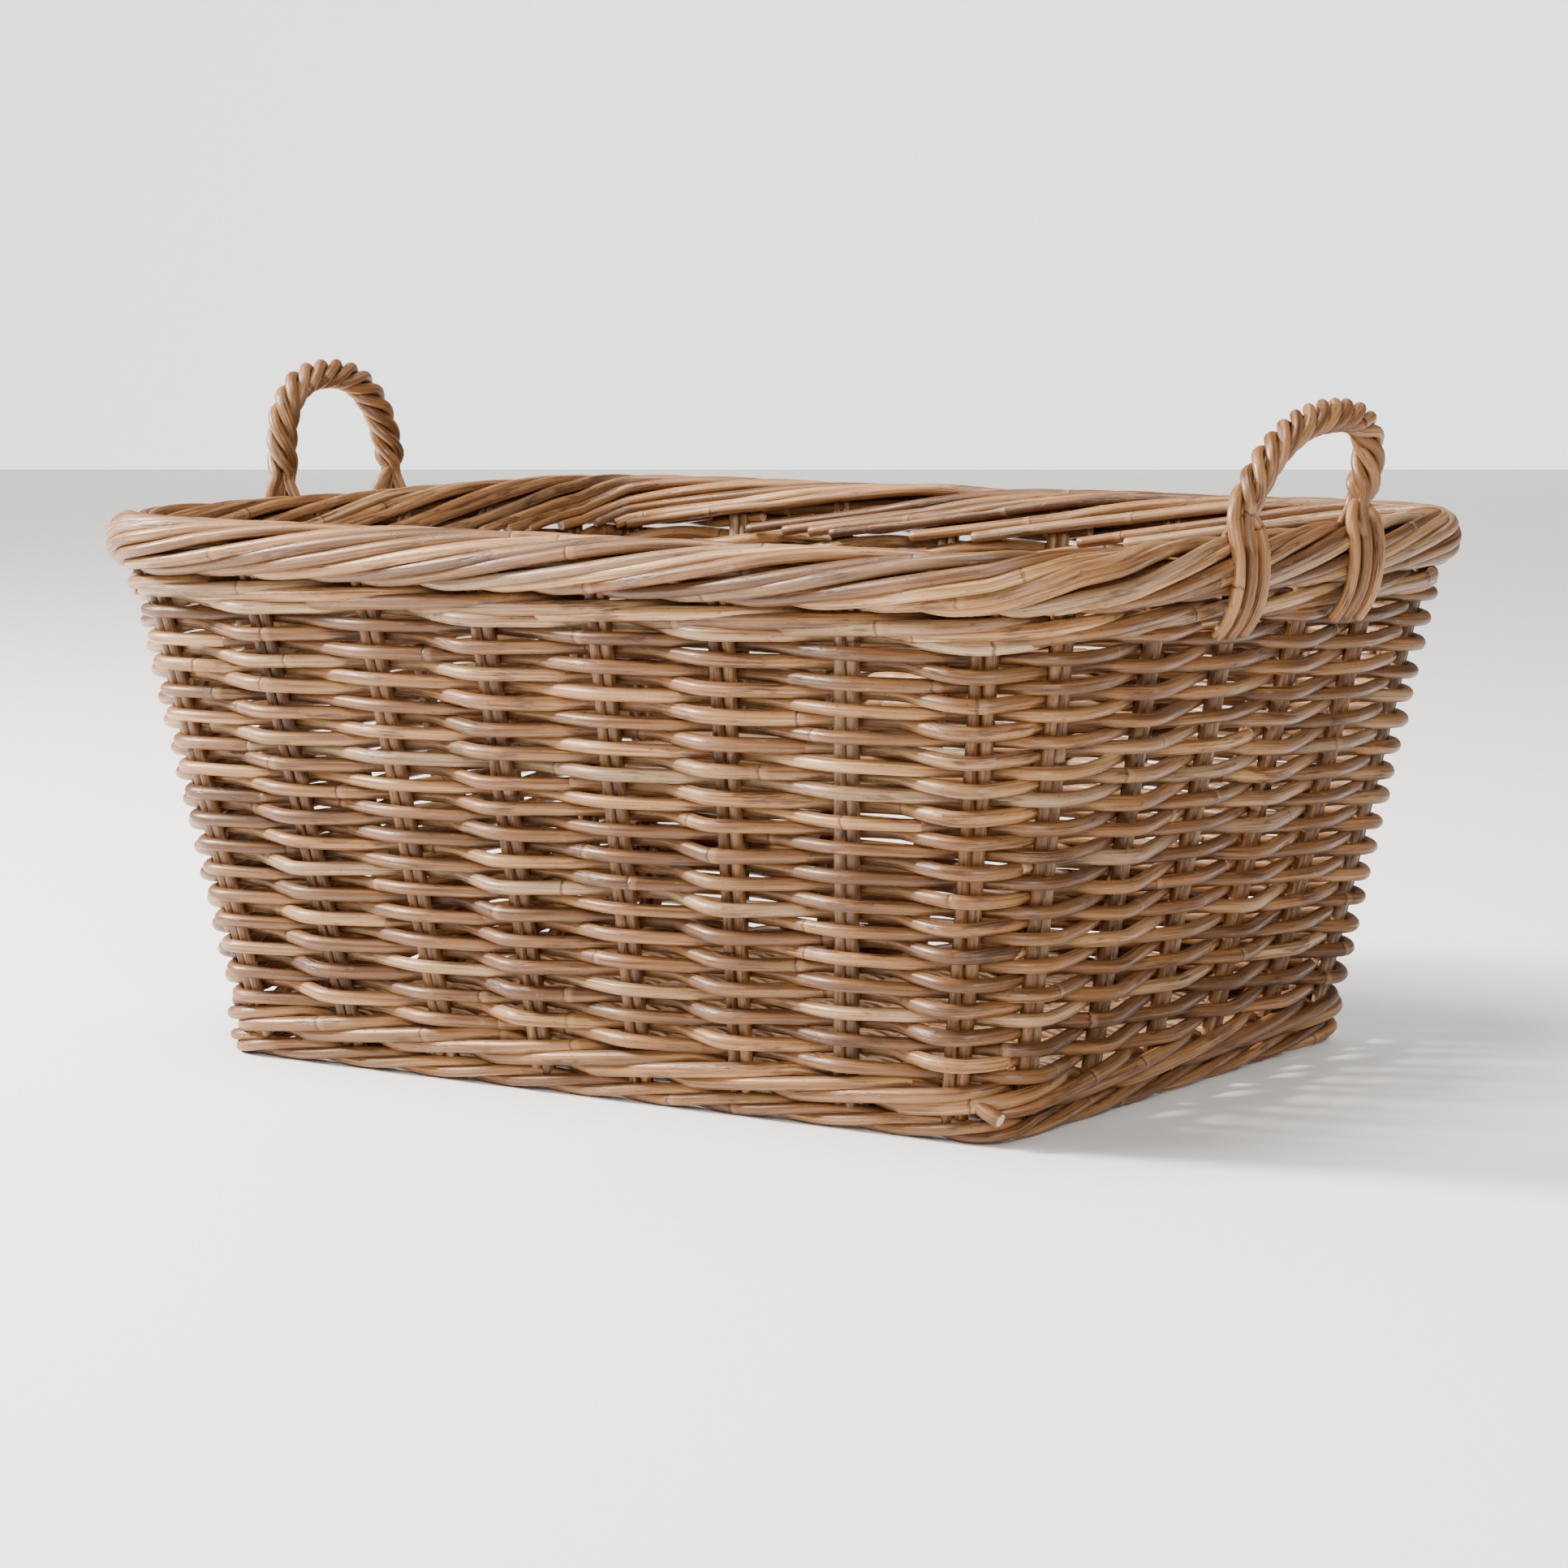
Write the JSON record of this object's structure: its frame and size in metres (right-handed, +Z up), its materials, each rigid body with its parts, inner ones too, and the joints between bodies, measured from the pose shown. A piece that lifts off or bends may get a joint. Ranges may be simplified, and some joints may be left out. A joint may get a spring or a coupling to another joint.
{
  "type": "woven laundry basket",
  "caption": "Oblong open basket woven from rattan rods, with flared walls, rolled border and a roped handle standing on each end wall.",
  "frame": {"origin": "on the floor, under the middle of the basket", "axes": "+X along the basket's long side, +Z up, +Y across it"},
  "size_m": [0.6726, 0.5088, 0.377],
  "materials": {
    "stake_rattan": "satin, unvarnished rattan, darker upright rods",
    "weaver_rattan": "satin, unvarnished rattan with fine lengthwise grain",
    "waling_rattan": "satin, unvarnished rattan, thick rods",
    "border_rattan": "satin, unvarnished rattan, paler thick rods",
    "foot_rattan": "satin, unvarnished rattan, twisted rods",
    "base_rattan": "satin, unvarnished rattan",
    "handle_rattan": "satin, unvarnished rattan, roped"
  },
  "bodies": {
    "root": {"base_panel": "base_rattan", "base_stick_1": "base_rattan", "base_stick_2": "base_rattan", "base_stick_3": "base_rattan", "base_stick_4": "base_rattan", "foot_border": "foot_rattan", "handle_left_rod_a": "handle_rattan", "handle_left_rod_b": "handle_rattan", "handle_left_rod_c": "handle_rattan", "handle_right_rod_a": "handle_rattan", "handle_right_rod_b": "handle_rattan", "handle_right_rod_c": "handle_rattan", "rolled_border": "border_rattan", "stake_pair_01": "stake_rattan", "stake_pair_02": "stake_rattan", "stake_pair_03": "stake_rattan", "stake_pair_04": "stake_rattan", "stake_pair_05": "stake_rattan", "stake_pair_06": "stake_rattan", "stake_pair_07": "stake_rattan", "stake_pair_08": "stake_rattan", "stake_pair_09": "stake_rattan", "stake_pair_10": "stake_rattan", "stake_pair_11": "stake_rattan", "stake_pair_12": "stake_rattan", "stake_pair_13": "stake_rattan", "stake_pair_14": "stake_rattan", "stake_pair_15": "stake_rattan", "stake_pair_16": "stake_rattan", "stake_pair_17": "stake_rattan", "stake_pair_18": "stake_rattan", "stake_pair_19": "stake_rattan", "stake_pair_20": "stake_rattan", "stake_pair_21": "stake_rattan", "stake_pair_22": "stake_rattan", "stake_pair_23": "stake_rattan", "stake_pair_24": "stake_rattan", "stake_pair_25": "stake_rattan", "stake_pair_26": "stake_rattan", "stake_pair_27": "stake_rattan", "stake_pair_28": "stake_rattan", "top_wale": "waling_rattan", "upsett_wale": "waling_rattan", "weave_course_01": "weaver_rattan", "weave_course_02": "weaver_rattan", "weave_course_03": "weaver_rattan", "weave_course_04": "weaver_rattan", "weave_course_05": "weaver_rattan", "weave_course_06": "weaver_rattan", "weave_course_07": "weaver_rattan", "weave_course_08": "weaver_rattan", "weave_course_09": "weaver_rattan", "weave_course_10": "weaver_rattan", "weave_course_11": "weaver_rattan", "weave_course_12": "weaver_rattan", "weave_course_13": "weaver_rattan", "weave_course_14": "weaver_rattan", "weave_course_15": "weaver_rattan", "weave_course_16": "weaver_rattan"}
  },
  "joints": []
}
